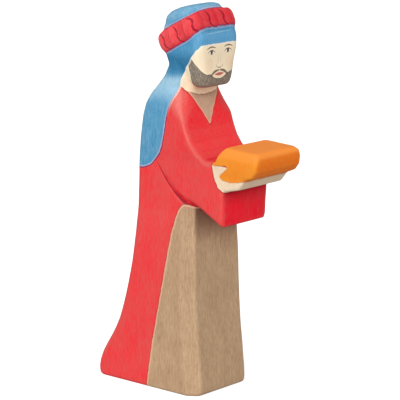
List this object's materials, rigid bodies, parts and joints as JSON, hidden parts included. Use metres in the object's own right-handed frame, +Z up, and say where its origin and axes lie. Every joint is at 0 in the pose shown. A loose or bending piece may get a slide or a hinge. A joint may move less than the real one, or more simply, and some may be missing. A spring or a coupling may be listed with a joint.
{
  "type": "nativity wise man figurine",
  "caption": "Carved and stained wooden figure of a standing, bearded wise man in turban, robe and skirt, holding out a block-shaped gift on both hands.",
  "frame": {"origin": "middle of the bounding box at the level of the underside", "axes": "+Z up, the figure faces -Y, X across the board it was sawn from; left and right are alike about x = 0"},
  "size_m": [0.026, 0.062, 0.1174],
  "materials": {
    "stained_wood": "matte"
  },
  "bodies": {
    "root": {"wise_man_figurine": "stained_wood"}
  },
  "joints": []
}
